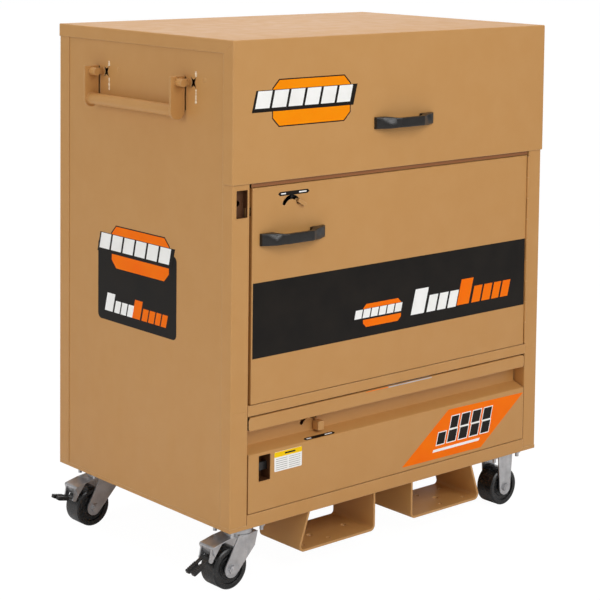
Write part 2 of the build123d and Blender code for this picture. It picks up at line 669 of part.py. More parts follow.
def handle_staples():
    """Round bars on which the straps turn, each held off the wall by an ear on either side."""
    staples = []
    for y in STRAP_YS:
        ear_front, ear_rear = y - STRAP_T / 2 - 3, y + STRAP_T / 2 + 3
        staple = rod_y(HANDLE_PIVOT_X, y - STAPLE_FRONT, y + STAPLE_REAR, HANDLE_PIVOT_Z, STAPLE_R)
        for y0, y1 in ((ear_front - STAPLE_EAR, ear_front), (ear_rear, ear_rear + STAPLE_EAR)):
            z0, z1 = HANDLE_PIVOT_Z - STAPLE_R + 2, HANDLE_PIVOT_Z + STAPLE_R - 2
            staple += block(HANDLE_PIVOT_X, -SIDE, y0, y1, z0, z1)
        staples.append(staple)
    return staples


# ---------------------------------------------------------------- fork pockets
def fork_bracket():
    """Front left bracket: upright inner wall, flat bottom and an outer wall that leans out."""
    outline = [
        (-FORK_INNER_X, CASTER_H), (-FORK_INNER_X, FORK_BOTTOM),
        (-FORK_OUTER_BOTTOM, FORK_BOTTOM), (-FORK_OUTER_TOP, CASTER_H),
    ]
    line = FilletPolyline(*outline, radius=15)
    wall = make_face(offset(line, amount=FORK_PLATE, side=Side.RIGHT, closed=True).edges())
    y0 = FRONT + SHEET
    bracket = Pos(0, y0 + FORK_LENGTH, 0) * Rot(90, 0, 0) * extrude(wall, amount=FORK_LENGTH)
    middle_y = LID_FRONT + sum(FORK_BOLT_Y) / 2
    for x in FORK_BOLT_X:
        for y in FORK_BOLT_Y:
            bracket -= rod_z(-x, LID_FRONT + y, FORK_BOTTOM - 1, FORK_BOTTOM + 8, FORK_BOLT_R)
    for x in FORK_HOLE_X:
        bracket -= rod_z(-x, middle_y, FORK_BOTTOM - 1, FORK_BOTTOM + 8, 8)
    return bracket


# ---------------------------------------------------------------- casters
def caster_bolt_places():
    dx, dy = CASTER_BOLTS[0] / 2, CASTER_BOLTS[1] / 2
    return [
        (x + side * dx, y + end * dy)
        for x in CASTER_X for y in CASTER_Y for side in (-1, 1) for end in (-1, 1)
    ]


def caster_plate():
    """Mounting plate with its four bolt holes, centred on the caster's axis."""
    length, width, thickness = CASTER_PLATE
    plate = block(-length / 2, length / 2, -width / 2, width / 2, CASTER_H - thickness, CASTER_H)
    plate = fillet(plate.edges().filter_by(Axis.Z), 8)
    for side in (-1, 1):
        for end in (-1, 1):
            x, y = side * CASTER_BOLTS[0] / 2, end * CASTER_BOLTS[1] / 2
            plate -= rod_z(x, y, CASTER_H - thickness - 1, CASTER_H + 1, CASTER_BOLT_R + 0.5)
    return plate


RACE_R = 36.0
RACE_BOTTOM = 130.0
KINGPIN_R = 8.0
LEG_INSIDE = 29.5
LEG_T = 3.5
FOOT_R = 21.0


def swivel_plate():
    """Mounting plate with the upper race below it, bored for the kingpin."""
    plate_bottom = CASTER_H - CASTER_PLATE[2]
    race = rod_z(0, 0, RACE_BOTTOM, plate_bottom, RACE_R)
    race -= rod_z(0, 0, RACE_BOTTOM - 1, plate_bottom - 1, KINGPIN_R + RUNNING)
    return caster_plate() + race


def leg_pair(outline):
    """Two fork legs cut from an (x, z) outline."""
    leg = Rot(90, 0, 0) * extrude(outline, amount=LEG_T)
    return Pos(0, -LEG_INSIDE, 0) * leg + Pos(0, LEG_INSIDE + LEG_T, 0) * leg


def leg_outline(foot_x, *corners):
    """Leg outline: the hull of the round foot at the axle and the (x, z) corners above it."""
    foot = CenterArc((foot_x, AXLE_Z), FOOT_R, 0, 360)
    return make_hull([foot, *Polyline(*corners).edges()])


def swivel_fork():
    """Crown, kingpin, slanted legs, the brake's hood over the tread and the pedal's pin."""
    crown_top = RACE_BOTTOM - 0.5
    crown_bottom = crown_top - 5
    fork = rod_z(0, 0, crown_bottom, crown_top, RACE_R + 2)
    fork += rod_z(0, 0, crown_top, CASTER_H - CASTER_PLATE[2] - 3, KINGPIN_R)
    fork += leg_pair(leg_outline(-CASTER_TRAIL, (-24, crown_top), (35, crown_top), (26, 95)))
    fork += block(-24, 35, -LEG_INSIDE, LEG_INSIDE, crown_bottom, crown_top)
    fork -= rod_y(-CASTER_TRAIL, -40, 40, AXLE_Z, AXLE_R)
    hood_line = FilletPolyline((-10, crown_top), (-60, crown_bottom - 1), (-101, 114), (-93, 91), radius=5)
    hood = make_face(offset(hood_line, amount=2.5, side=Side.LEFT, closed=True).edges())
    fork += Rot(90, 0, 0) * extrude(hood, amount=LEG_INSIDE - 2, both=True)
    cheek = make_face(Polyline((-62, 123), (-99, 112.5), (-104, 84), (-98, 76), (-92, 84), close=True))
    pin_x, pin_z = PEDAL_PIN
    for y in (-22, 18):
        fork += Pos(0, y + 4, 0) * Rot(90, 0, 0) * extrude(cheek, amount=4)
        fork += rod_y(pin_x, y, y + 4, pin_z, 6)
    return fork + rod_y(pin_x, -22, 22, pin_z, 3)


def brake_pedal(tilt):
    """Two-pronged pedal on its pin; tilt is its angle above the horizontal."""
    reach = (PEDAL_REACH + PEDAL_PIN[0]) / math.cos(math.radians(tilt))
    pedal = rod_y(0, -17.5, 17.5, 0, 5.5)
    for side in (-1, 1):
        low, high = sorted((side * 6, side * 16))
        pedal += block(-reach, 0, low, high, 0.5, 4)
        pedal += block(-reach, 3.5 - reach, low, high, -3, 4)
    pedal -= rod_y(0, -18, 18, 0, 3 + RUNNING)
    return Pos(PEDAL_PIN[0], 0, PEDAL_PIN[1]) * Rot(0, tilt, 0) * pedal


def wheel(x):
    """Solid wheel with a stepped face, centred on its axle."""
    half = WHEEL_W / 2
    rim = WHEEL_R
    face = [
        (AXLE_R + RUNNING, half + 1), (14, half + 1), (16, half - 5), (22, half - 7), (23, half - 5),
        (27, half - 5), (28, half - 7), (36, half - 6), (38, half - 1), (47, half), (rim, half - 3),
    ]
    outline = face + [(r, -y) for r, y in reversed(face)]
    section = make_face(Polyline(*outline, close=True))
    return Pos(x, 0, AXLE_Z) * revolve(section, Axis.Y)


def axle(x):
    """Axle bolt with its head and nut."""
    ends = LEG_INSIDE + LEG_T
    bolt = rod_z(0, 0, -ends - 6, ends + 8, AXLE_R)
    bolt += hexagon_z(0, 0, ends, ends + 6, 19) + hexagon_z(0, 0, -ends - 6, -ends, 19)
    return Pos(x, 0, AXLE_Z) * Rot(90, 0, 0) * bolt


def rigid_fork():
    """Mounting plate with a one-piece straight fork below it."""
    plate_bottom = CASTER_H - CASTER_PLATE[2]
    outline = leg_outline(0, (-28.5, plate_bottom), (28.5, plate_bottom))
    fork = caster_plate() + leg_pair(outline)
    fork += block(-28.5, 28.5, -LEG_INSIDE, LEG_INSIDE, plate_bottom - 5, plate_bottom)
    return fork - rod_y(0, -40, 40, AXLE_Z, AXLE_R)


def caster_bolts():
    """Bolts with their heads on the floor sheet and their nuts below the caster plates."""
    plate_bottom = CASTER_H - CASTER_PLATE[2]
    bolts = []
    for x, y in caster_bolt_places():
        bolt = rod_z(x, y, plate_bottom - NUT_H - BOLT_END, FLOOR_TOP + 6, CASTER_BOLT_R)
        bolt += hexagon_z(x, y, plate_bottom - NUT_H, plate_bottom, NUT_SIZE)
        bolt += hexagon_z(x, y, FLOOR_TOP, FLOOR_TOP + 6, NUT_SIZE)
        bolts.append(bolt)
    return bolts


# ---------------------------------------------------------------- assembly
parts = {
    "left_side_panel": side_panel(),
    "right_side_panel": mirrored_x(side_panel()),
    "back_panel": back_panel(),
    "floor_pan": floor_pan(),
    "left_post": left_post(),
    "right_post": post(BAY_RIGHT, SIDE),
    "work_shelf": work_shelf(),
    "drawer_bay_liner": drawer_bay_liner(),
    "door_lock_pocket": door_lock_pocket(),
    "front_left_fork_bracket": fork_bracket(),
    "front_right_fork_bracket": mirrored_x(fork_bracket()),
    "rear_left_fork_bracket": mirrored_y(fork_bracket()),
    "rear_right_fork_bracket": mirrored_y(mirrored_x(fork_bracket())),
    "lid_shell": lid_shell(),
    "lid_handle": pull_handle(LID_PULL[0], LID_FRONT, LID_PULL[1]),
    "lid_hinge_body_leaf": lid_hinge_body_leaf(),
    "lid_hinge_lid_leaf": lid_hinge_lid_leaf(),
    "lid_hinge_pin": lid_hinge_pin(),
    "gas_stay_body_studs": stay_body_studs(),
    "gas_stay_lid_brackets": stay_lid_brackets(),
    "door_panel": door_panel(),
    "door_handle": pull_handle(DOOR_PULL[0], FRONT, DOOR_PULL[1]),
    "door_hinge_post_leaf": door_hinge_post_leaf(),
    "door_hinge_door_leaf": door_hinge_door_leaf(),
    "door_hinge_pin": door_hinge_pin(),
    "door_latch_lever": door_latch_lever(),
    "door_latch_bolt": door_latch_bolt(),
    "drawer_front": drawer_front(),
    "drawer_tray": drawer_tray(),
    "drawer_lock_pocket": drawer_lock_pocket(),
    "drawer_latch_lever": drawer_latch_lever(),
    "drawer_latch_bolt": drawer_latch_bolt(),
    "slide_outer_members": slide_outer_members(),
    "slide_middle_members": slide_middle_members(),
    "slide_inner_members": slide_inner_members(),
    "left_lift_handle": lift_handle(),
    "right_lift_handle": mirrored_x(lift_handle()),
    "left_handle_staples": handle_staples(),
    "right_handle_staples": [mirrored_x(staple) for staple in handle_staples()],
    "caster_bolts": caster_bolts(),
}

for side_name, stay_x in (("left", -STAY_X), ("right", STAY_X)):
    parts[f"{side_name}_gas_stay_cylinder"] = stay_cylinder(stay_x)
    parts[f"{side_name}_gas_stay_rod"] = stay_rod(stay_x)

for end_name, caster_y in zip(("front", "rear"), CASTER_Y):
    swivel = Pos(CASTER_X[0], caster_y, 0)
    parts[f"{end_name}_swivel_plate"] = swivel * swivel_plate()
    parts[f"{end_name}_swivel_fork"] = swivel * swivel_fork()
    parts[f"{end_name}_swivel_wheel"] = swivel * wheel(-CASTER_TRAIL)
    parts[f"{end_name}_swivel_axle"] = swivel * axle(-CASTER_TRAIL)
    parts[f"{end_name}_brake_pedal"] = swivel * brake_pedal(PEDAL_TILT[end_name])
    rigid = Pos(CASTER_X[1], caster_y, 0)
    parts[f"{end_name}_rigid_fork"] = rigid * rigid_fork()
    parts[f"{end_name}_rigid_wheel"] = rigid * wheel(0)
parts["rigid_axles"] = [Pos(CASTER_X[1], caster_y, 0) * axle(0) for caster_y in CASTER_Y]

# ---------------------------------------------------------------- origin and export
def solids_of(part):
    pieces = part if isinstance(part, list) else [part]
    return [solid for piece in pieces for solid in piece.solids()]


assembly = Compound(children=[Compound(solids_of(part)) for part in parts.values()])
extent = assembly.bounding_box()
origin_shift = Pos(-extent.center().X, -extent.center().Y, -extent.min.Z)

os.makedirs("parts", exist_ok=True)
for name, part in parts.items():
    node = Compound(solids_of(part)).moved(origin_shift)
    node.label = name
    export_step(node, f"parts/{name}.step")
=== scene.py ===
import json
import math
import random

import bmesh
import bpy
from mathutils import Matrix, Quaternion, Vector


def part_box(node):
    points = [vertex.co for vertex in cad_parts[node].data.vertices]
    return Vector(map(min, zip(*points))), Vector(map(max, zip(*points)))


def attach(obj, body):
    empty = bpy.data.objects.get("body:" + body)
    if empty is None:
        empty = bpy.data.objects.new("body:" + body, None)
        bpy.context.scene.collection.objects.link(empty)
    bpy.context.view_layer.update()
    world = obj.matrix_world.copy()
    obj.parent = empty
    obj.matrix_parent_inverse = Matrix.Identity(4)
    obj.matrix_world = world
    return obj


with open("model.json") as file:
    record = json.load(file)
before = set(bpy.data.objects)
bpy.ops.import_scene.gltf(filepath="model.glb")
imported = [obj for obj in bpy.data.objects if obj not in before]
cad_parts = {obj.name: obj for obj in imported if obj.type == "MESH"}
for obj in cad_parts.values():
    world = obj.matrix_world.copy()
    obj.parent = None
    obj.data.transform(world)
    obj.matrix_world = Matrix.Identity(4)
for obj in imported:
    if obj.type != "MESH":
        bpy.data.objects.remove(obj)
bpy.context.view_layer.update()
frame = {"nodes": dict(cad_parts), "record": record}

MM = 0.001
nodes = frame["nodes"]


# ---------------------------------------------------------------- shader building
def add(tree, kind, inputs=None, **settings):
    """A shader node; an input is a value or the socket that feeds it."""
    node = tree.nodes.new("ShaderNode" + kind)
    for name, value in settings.items():
        setattr(node, name, value)
    for name, value in (inputs or {}).items():
        if isinstance(value, bpy.types.NodeSocket):
            tree.links.new(value, node.inputs[name])
        else:
            node.inputs[name].default_value = value
    return node


def material(name):
    """A material with its Principled node and the object coordinates that its textures use."""
    made = bpy.data.materials.new(name)
    made.use_nodes = True
    tree = made.node_tree
    shader = tree.nodes["Principled BSDF"]
    place = add(tree, "TexCoord").outputs["Object"]
    return made, tree, shader, place


def noise(tree, place, scale, detail=2.0, roughness=0.5, stretch=None):
    if stretch:
        place = add(tree, "Mapping", {"Vector": place, "Scale": stretch}).outputs["Vector"]
    settings = {"Vector": place, "Scale": scale, "Detail": detail, "Roughness": roughness}
    return add(tree, "TexNoise", settings).outputs["Fac"]


def remap(tree, value, low, high, to_low=0.0, to_high=1.0):
    settings = {"Value": value, "From Min": low, "From Max": high, "To Min": to_low, "To Max": to_high}
    return add(tree, "MapRange", settings).outputs["Result"]


def blend_colour(tree, factor, first, second):
    mix = add(tree, "Mix", data_type="RGBA")
    for index, value in ((0, factor), (6, first), (7, second)):
        if isinstance(value, bpy.types.NodeSocket):
            tree.links.new(value, mix.inputs[index])
        else:
            mix.inputs[index].default_value = value
    return mix.outputs[2]


def bump(tree, height, distance, strength=1.0, normal=None):
    settings = {"Height": height, "Distance": distance, "Strength": strength}
    if normal is not None:
        settings["Normal"] = normal
    return add(tree, "Bump", settings).outputs["Normal"]


def edge_mask(tree, radius, low, high):
    """1 on edges and folds within the radius, 0 on flat faces."""
    rounded_normal = add(tree, "Bevel", {"Radius": radius}, samples=4).outputs["Normal"]
    true_normal = add(tree, "NewGeometry").outputs["Normal"]
    product = add(tree, "VectorMath", {0: rounded_normal, 1: true_normal}, operation="DOT_PRODUCT")
    return remap(tree, product.outputs["Value"], high, low)


def folded_normal(tree, radius):
    """The normal of an edge as if it were rounded by the radius."""
    return add(tree, "Bevel", {"Radius": radius}, samples=4).outputs["Normal"]


def srgb(red, green, blue):
    """A display colour (0 to 255) as linear values."""
    def linear(value):
        value /= 255
        return value / 12.92 if value <= 0.04045 else ((value + 0.055) / 1.055) ** 2.4
    return (linear(red), linear(green), linear(blue), 1.0)


# ---------------------------------------------------------------- materials
def paint_material(name, base, pale, deep, fold=2.6):
    """Satin powder coat: orange peel, faint panel waves, a slow colour drift and a painted highlight: folded
    edges painted paler.
    """
    made, tree, shader, place = material(name)
    drift = remap(tree, noise(tree, place, 1.3, 2.0, stretch=(1.0, 1.0, 0.45)), 0.3, 0.7)
    colour = blend_colour(tree, remap(tree, drift, 0.0, 1.0, 0.0, 0.45), base, deep)
    handling = remap(tree, noise(tree, place, 18.0, 4.0), 0.35, 0.75, 0.0, 0.07)
    colour = blend_colour(tree, handling, colour, pale)
    specks = remap(tree, noise(tree, place, 420.0, 1.0), 0.74, 0.79, 0.0, 0.16)
    colour = blend_colour(tree, specks, colour, deep)
    # painted highlight: edges and folds painted paler, standing in for the light they catch
    edges = edge_mask(tree, fold * MM, 0.80, 0.99)
    colour = blend_colour(tree, remap(tree, edges, 0.0, 1.0, 0.0, 0.85), colour, pale)
    tree.links.new(colour, shader.inputs["Base Color"])
    streaks = noise(tree, place, 24.0, 3.0, stretch=(1.0, 1.0, 0.15))
    tree.links.new(remap(tree, streaks, 0.3, 0.7, 0.40, 0.50), shader.inputs["Roughness"])
    shader.inputs["Specular IOR Level"].default_value = 0.40
    waves = bump(tree, noise(tree, place, 2.6, 1.0), 1.2 * MM, 0.4, folded_normal(tree, fold * MM))
    peel = bump(tree, noise(tree, place, 620.0, 2.0), 0.05 * MM, 0.5, waves)
    tree.links.new(peel, shader.inputs["Normal"])
    return made


def plastic_material(name, base, pale):
    """Moulded black plastic with a fine grain, a soft sheen and a painted highlight: edges painted slightly
    paler.
    """
    made, tree, shader, place = material(name)
    # painted highlight: edges painted paler, standing in for the light they catch
    edges = edge_mask(tree, 1.5 * MM, 0.75, 0.97)
    colour = blend_colour(tree, remap(tree, edges, 0.0, 1.0, 0.0, 0.35), base, pale)
    dust = remap(tree, noise(tree, place, 45.0, 5.0), 0.5, 0.8, 0.0, 0.12)
    colour = blend_colour(tree, dust, colour, pale)
    tree.links.new(colour, shader.inputs["Base Color"])
    sheen = remap(tree, noise(tree, place, 90.0, 3.0), 0.3, 0.7, 0.26, 0.38)
    tree.links.new(sheen, shader.inputs["Roughness"])
    grain = bump(tree, noise(tree, place, 1400.0, 2.0), 0.05 * MM, 0.6, folded_normal(tree, 1.2 * MM))
    tree.links.new(grain, shader.inputs["Normal"])
    return made


SHEARED_EDGE = (0.72, 0.72, 0.73, 1.0)     # bare steel along a cut


def zinc_material(name, base, pale, roughness):
    """Zinc plate over rolled steel: rolling lines, cloudy spangle and bright sheared edges."""
    made, tree, shader, place = material(name)
    spangle = add(tree, "TexVoronoi", {"Vector": place, "Scale": 160.0}).outputs["Distance"]
    cloudy = remap(tree, noise(tree, place, 38.0, 5.0, 0.6), 0.3, 0.7)
    colour = blend_colour(tree, cloudy, base, pale)
    colour = blend_colour(tree, remap(tree, spangle, 0.0, 0.8, 0.0, 0.22), colour, pale)
    edges = edge_mask(tree, 1.2 * MM, 0.75, 0.97)
    colour = blend_colour(tree, remap(tree, edges, 0.0, 1.0, 0.0, 0.7), colour, SHEARED_EDGE)
    tree.links.new(colour, shader.inputs["Base Color"])
    shader.inputs["Metallic"].default_value = 0.9
    rolled = noise(tree, place, 120.0, 4.0, stretch=(1.0, 1.0, 0.08))
    sheen = remap(tree, rolled, 0.3, 0.7, roughness - 0.07, roughness + 0.10)
    tree.links.new(sheen, shader.inputs["Roughness"])
    tree.links.new(bump(tree, rolled, 0.04 * MM, 0.5), shader.inputs["Normal"])
    return made


def wheel_material(name, base, pale):
    """Hard black wheel: moulding grain, scuffs and a painted highlight: edges painted paler."""
    made, tree, shader, place = material(name)
    scuffs = remap(tree, noise(tree, place, 55.0, 6.0, 0.7), 0.5, 0.85, 0.0, 0.3)
    colour = blend_colour(tree, scuffs, base, pale)
    # painted highlight: edges painted paler, standing in for the light on the rounded tread and rims
    edges = edge_mask(tree, 1.4 * MM, 0.7, 0.97)
    colour = blend_colour(tree, remap(tree, edges, 0.0, 1.0, 0.0, 0.45), colour, pale)
    tree.links.new(colour, shader.inputs["Base Color"])
    sheen = remap(tree, noise(tree, place, 70.0, 4.0), 0.3, 0.7, 0.18, 0.34)
    tree.links.new(sheen, shader.inputs["Roughness"])
    grain = bump(tree, noise(tree, place, 500.0, 3.0), 0.08 * MM, 0.5, folded_normal(tree, 1.8 * MM))
    tree.links.new(grain, shader.inputs["Normal"])
    return made


def vinyl_material(name, base, tint, gloss=0.3):
    """Printed vinyl: a faint print mottle, tiny rubs and a slightly uneven gloss."""
    made, tree, shader, place = material(name)
    mottle = remap(tree, noise(tree, place, 14.0, 3.0), 0.3, 0.7)
    rubs = remap(tree, noise(tree, place, 260.0, 2.0, stretch=(1.0, 1.0, 0.3)), 0.68, 0.75, 0.0, 0.35)
    colour = blend_colour(tree, mottle, base, tint)
    colour = blend_colour(tree, rubs, colour, tint)
    tree.links.new(colour, shader.inputs["Base Color"])
    tree.links.new(remap(tree, mottle, 0.0, 1.0, 0.30, 0.42), shader.inputs["Roughness"])
    shader.inputs["Specular IOR Level"].default_value = gloss
    waves = bump(tree, noise(tree, place, 3.5, 1.0), 1.2 * MM, 0.5)
    tree.links.new(bump(tree, noise(tree, place, 500.0, 1.0), 0.02 * MM, 0.5, waves), shader.inputs["Normal"])
    return made


PALE_TAN = srgb(226, 184, 132)
THIN = 0.3             # bend radius, mm, of welds, rims and other small added pieces
TAN = paint_material("tan_powder_coat", srgb(198, 146, 84), PALE_TAN, srgb(190, 136, 74))
TAN_FINE = paint_material("tan_powder_coat_fine", srgb(200, 148, 86), PALE_TAN, srgb(192, 138, 76), THIN)
# darker copies of the same paint, with painted shade, for where little light reaches: pans and folds inside,
# then the padlock pockets
painted_shade_base, painted_shade_pale, painted_shade_deep = srgb(150, 94, 50), srgb(176, 122, 74), srgb(132, 80, 40)
TAN_PAINTED_SHADE = paint_material("tan_powder_coat_painted_shade", painted_shade_base, painted_shade_pale, painted_shade_deep)
# painted deep shade: near-dark paint for the inside of the padlock pockets
TAN_PAINTED_DEEP_SHADE = paint_material("tan_powder_coat_painted_deep_shade", srgb(92, 56, 30), srgb(120, 78, 46), srgb(70, 42, 22))
BLACK_PLASTIC = plastic_material("black_moulded_plastic", srgb(25, 22, 20), srgb(62, 57, 53))
BLACK_ENAMEL = plastic_material("black_enamel", srgb(24, 23, 23), srgb(80, 78, 78))
ZINC = zinc_material("zinc_plate", srgb(168, 168, 170), srgb(206, 206, 208), 0.34)
POLISHED = zinc_material("polished_rod", srgb(205, 205, 208), srgb(226, 226, 228), 0.14)
WHEEL = wheel_material("black_wheel", srgb(26, 26, 27), srgb(96, 95, 94))
VINYL_BLACK = vinyl_material("black_vinyl", srgb(18, 14, 11), srgb(28, 23, 18), 0.16)
VINYL_ORANGE = vinyl_material("orange_vinyl", srgb(255, 112, 0), srgb(255, 122, 0), 0.08)
VINYL_AMBER = vinyl_material("amber_vinyl", srgb(255, 142, 0), srgb(255, 150, 0), 0.08)
VINYL_WHITE = vinyl_material("white_vinyl", srgb(255, 255, 253), srgb(246, 245, 241), 0.12)
VINYL_YELLOW = vinyl_material("yellow_vinyl", srgb(255, 218, 0), srgb(255, 206, 0), 0.12)
VINYL_GREY = vinyl_material("grey_print", srgb(150, 148, 146), srgb(176, 174, 170))
PALE_LABEL = vinyl_material("pale_label", srgb(206, 206, 208), srgb(178, 178, 180))
# painted highlight: near-white paint on the bracket welds stands in for the glints along the beads
WELD = paint_material("weld_bead_painted_highlight", srgb(246, 226, 196), srgb(255, 246, 228), srgb(226, 196, 152), THIN)

SLOT_MATERIALS = {
    "tan_paint": TAN,
    "black_plastic": BLACK_PLASTIC,
    "zinc_steel": ZINC,
    "black_enamel": BLACK_ENAMEL,
    "polished_rod": POLISHED,
    "black_wheel": WHEEL,
}
# parts deep in the box and the padlock pockets get the darker copies of the paint, their shade painted in
SHADED_NODES = {
    "work_shelf": TAN_PAINTED_SHADE, "drawer_tray": TAN_PAINTED_SHADE,
    "door_lock_pocket": TAN_PAINTED_DEEP_SHADE, "drawer_lock_pocket": TAN_PAINTED_DEEP_SHADE,
}


# ---------------------------------------------------------------- CAD nodes
def smooth_cad(obj):
    """Joins the split corners and shades round stretches smooth, leaving the CAD mesh alone."""
    for polygon in obj.data.polygons:
        polygon.use_smooth = True
    weld = obj.modifiers.new("weld", "WELD")
    weld.merge_threshold = 1e-5
    split = obj.modifiers.new("split", "EDGE_SPLIT")
    split.split_angle = math.radians(32)


slot_of = {entry["node"]: entry["material_slot"] for entry in frame["record"]["subparts"]}
for node_name, node in nodes.items():
    finish_material = SHADED_NODES.get(node_name, SLOT_MATERIALS[slot_of[node_name]])
    node.data.materials.clear()
    node.data.materials.append(finish_material)
    smooth_cad(node)


# ---------------------------------------------------------------- mesh helpers
def piece(name, verts, faces, finish_material, body):
    """A mesh object in the shared frame, with outward normals, riding on a body."""
    mesh = bpy.data.meshes.new(name)
    made = bmesh.new()
    corners = [made.verts.new(v) for v in verts]
    for face in faces:
        made.faces.new([corners[i] for i in face])
    bmesh.ops.recalc_face_normals(made, faces=made.faces)
    made.to_mesh(mesh)
    made.free()
    obj = bpy.data.objects.new(name, mesh)
    bpy.context.scene.collection.objects.link(obj)
    obj.data.materials.append(finish_material)
    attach(obj, body)
    return obj


class Wall:
    """A flat face: u runs along it, v up it and depth out of it, in millimetres."""

    def __init__(self, origin, along, up, out):
        self.origin, self.along, self.up, self.out = (Vector(v) for v in (origin, along, up, out))

    def at(self, u, v, depth=0.0):
        return self.origin + (self.along * u + self.up * v + self.out * depth) * MM


def rounded(points, radius, steps=4):
    """The outline with each corner turned into an arc."""
    outline = []
    count = len(points)
    for i, point in enumerate(points):
        corner = Vector(point)
        before = (Vector(points[i - 1]) - corner).normalized()
        after = (Vector(points[(i + 1) % count]) - corner).normalized()
        half = before.angle(after) / 2
        cut = radius / math.tan(half)
        centre = corner + (before + after).normalized() * (radius / math.sin(half))
        start = corner + before * cut - centre
        end = corner + after * cut - centre
        for step in range(steps + 1):
            ray = start.lerp(end, step / steps).normalized() * radius
            outline.append(tuple(centre + ray))
    return outline


def slab(name, wall, outline, low, high, finish_material, body):
    """A flat plate between two depths over a wall."""
    count = len(outline)
    verts = [wall.at(u, v, low) for u, v in outline] + [wall.at(u, v, high) for u, v in outline]
    faces = [list(range(count)), list(range(count, 2 * count))]
    faces += [[i, (i + 1) % count, (i + 1) % count + count, i + count] for i in range(count)]
    return piece(name, verts, faces, finish_material, body)


def bar(centre_u, centre_v, width, height, lean=0.0):
    """Corners of a bar whose ends lean by the given amount."""
    u, v = width / 2, height / 2
    return [
        (centre_u - u - lean, centre_v - v), (centre_u + u - lean, centre_v - v),
        (centre_u + u + lean, centre_v + v), (centre_u - u + lean, centre_v + v),
    ]


def tube(name, path, radius, finish_material, body, sides=10, wobble=0.0, seed=1, ring=False):
    """A closed tube along a path of points, or round a ring of them, with an optional uneven radius."""
    draw = random.Random(seed)
    verts, faces = [], []
    last = len(path) - 1
    side_axis = None
    for i, point in enumerate(path):
        ahead = path[(i + 1) % (last + 1)] if ring else path[min(i + 1, last)]
        heading = (ahead - path[i - 1 if ring else max(i - 1, 0)]).normalized()
        if side_axis is None:
            side_axis = heading.orthogonal()
        side_axis = (side_axis - heading * side_axis.dot(heading)).normalized()
        other = heading.cross(side_axis)
        size = radius * (1 + wobble * draw.uniform(-1, 1))
        for k in range(sides):
            angle = math.tau * k / sides
            verts.append(point + (side_axis * math.cos(angle) + other * math.sin(angle)) * size)
    for i in range(last):
        for k in range(sides):
            a, b = i * sides + k, i * sides + (k + 1) % sides
            faces.append([a, b, b + sides, a + sides])
    if ring:
        for k in range(sides):
            a, b = last * sides + k, last * sides + (k + 1) % sides
            faces.append([a, b, (k + 1) % sides, k])
    else:
        faces.append(list(range(sides)))
        faces.append(list(range(last * sides, (last + 1) * sides)))
    obj = piece(name, verts, faces, finish_material, body)
    for polygon in obj.data.polygons:
        polygon.use_smooth = len(polygon.vertices) == 4
    return obj


# ---------------------------------------------------------------- walls that carry graphics
lid_low, lid_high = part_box("lid_shell")
door_low, door_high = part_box("door_panel")
drawer_low, drawer_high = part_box("drawer_front")
left_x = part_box("left_side_panel")[0].x
right_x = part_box("right_side_panel")[1].x
body_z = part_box("floor_pan")[0].z

RIGHT, REAR, UP = (1, 0, 0), (0, 1, 0), (0, 0, 1)
LEFT, FRONTWARD = (-1, 0, 0), (0, -1, 0)
# u runs from the lid's left or front face and v from the lower edge of the body
lid_wall = Wall((lid_low.x, lid_low.y, body_z), RIGHT, UP, FRONTWARD)
post_wall = Wall((lid_low.x, door_low.y, body_z), RIGHT, UP, FRONTWARD)
left_wall = Wall((left_x, lid_low.y, body_z), REAR, UP, LEFT)
right_wall = Wall((right_x, lid_low.y, body_z), REAR, UP, RIGHT)
lid_left_wall = Wall((lid_low.x, lid_low.y, body_z), REAR, UP, LEFT)
lid_right_wall = Wall((lid_high.x, lid_low.y, body_z), REAR, UP, RIGHT)
# u and v run from the part's own lower left corner
door_wall = Wall((door_low.x, door_low.y, door_low.z), RIGHT, UP, FRONTWARD)
drawer_wall = Wall((drawer_low.x, drawer_low.y, drawer_low.z), RIGHT, UP, FRONTWARD)

FILM = 0.12            # thickness of one printed layer
SUNK = -0.05           # the film's back face, just inside the paint


def film(name, wall, outline, layer, finish_material, body):
    """One printed layer; higher layers stand a little further out."""
    return slab(name, wall, outline, SUNK, FILM * layer, finish_material, body)


LEAN = 0.26            # sideways lean of a bar for each unit of its height
BAR_GAP = 7


def leaning_row(name, wall, start, foot, sizes, layer, finish_material, body, mirror=1, scale=1.0):
    """Plain leaning bars side by side, each given as width and height, with a gap between them."""
    u = start
    for i, (width, height) in enumerate(sizes):
        width, height = width * scale, height * scale
        centre = (u + mirror * width / 2, foot + height / 2)
        outline = bar(*centre, width, height, mirror * LEAN * height / 2)
        film(f"{name}_{i + 1}", wall, outline, layer, finish_material, body)
        u += mirror * (width + BAR_GAP * scale)


def emblem(name, wall, centre, scale, body, first_layer, mirror=1, plate=None):
    """A plain badge: an orange plate with cut corners behind a row of white blocks edged in black."""
    def placed(points):
        return [(centre[0] + mirror * u * scale, centre[1] + v * scale) for u, v in points]

    def cut_plate(half_w, half_h, cut):
        return [
            (24 - half_w + cut, -11 - half_h), (24 + half_w - cut, -11 - half_h),
            (24 + half_w, -11 - half_h + cut), (24 + half_w, -11 + half_h - cut),
            (24 + half_w - cut, -11 + half_h), (24 - half_w + cut, -11 + half_h),
            (24 - half_w, -11 + half_h - cut), (24 - half_w, -11 - half_h + cut),
        ]

    film(f"{name}_plate_edge", wall, placed(cut_plate(132, 60, 22)), first_layer, VINYL_BLACK, body)
    film(f"{name}_plate", wall, placed(cut_plate(129, 57, 21)), first_layer + 1, plate or VINYL_ORANGE, body)
    film(f"{name}_strip_shade", wall, placed(bar(3, -4, 338, 54, 7)), first_layer + 2, VINYL_BLACK, body)
    for i in range(6):
        block = placed(bar(-135 + 54 * i, 0, 46, 43, 5))
        film(f"{name}_block_{i + 1}", wall, block, first_layer + 3, VINYL_WHITE, body)


emblem("lid_badge", lid_wall, (225, 1043.5), 0.97, "lid", 1, plate=VINYL_AMBER)

WHITE_BARS = ((48, 66), (32, 44), (32, 44), (32, 44))
ORANGE_BARS = ((46, 68), (32, 44), (32, 44), (28, 44), (30, 44))


